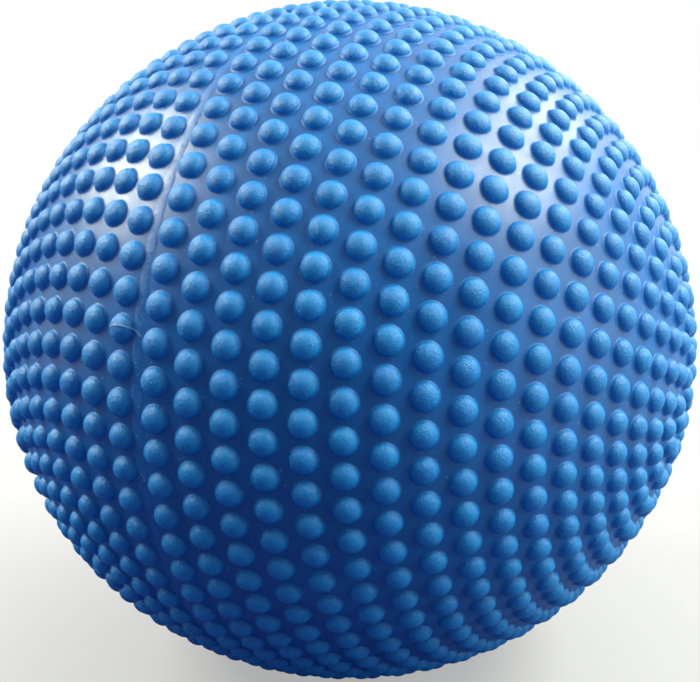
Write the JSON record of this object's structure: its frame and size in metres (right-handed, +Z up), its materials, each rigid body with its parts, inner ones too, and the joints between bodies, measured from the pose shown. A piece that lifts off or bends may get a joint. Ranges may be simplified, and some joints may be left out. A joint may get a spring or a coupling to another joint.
{
  "type": "knobby play ball",
  "caption": "Soft hollow play ball covered in rings of round knobs, moulded in one piece, with a push-in plug valve at one pole and a flat patch to rest on.",
  "frame": {"origin": "centre of the flat patch that the ball rests on", "axes": "+Z up, +X along the axis of the mould towards the pole without the valve; the parting line lies in the plane x = 0"},
  "size_m": [0.1992, 0.1998, 0.1917],
  "materials": {
    "skin": "soft blue vinyl, satin skin with frosted knobs",
    "sleeve": "soft blue vinyl, smooth",
    "plug": "white moulded plastic, satin"
  },
  "bodies": {
    "ball": {"ball_skin": "skin", "valve_sleeve": "sleeve"},
    "plug": {"valve_plug": "plug"}
  },
  "joints": [
    {"name": "plug_pull", "type": "slide", "parent": "ball", "child": "plug", "axis": [-1, 0, 0], "range_m": [0, 0.014]}
  ]
}
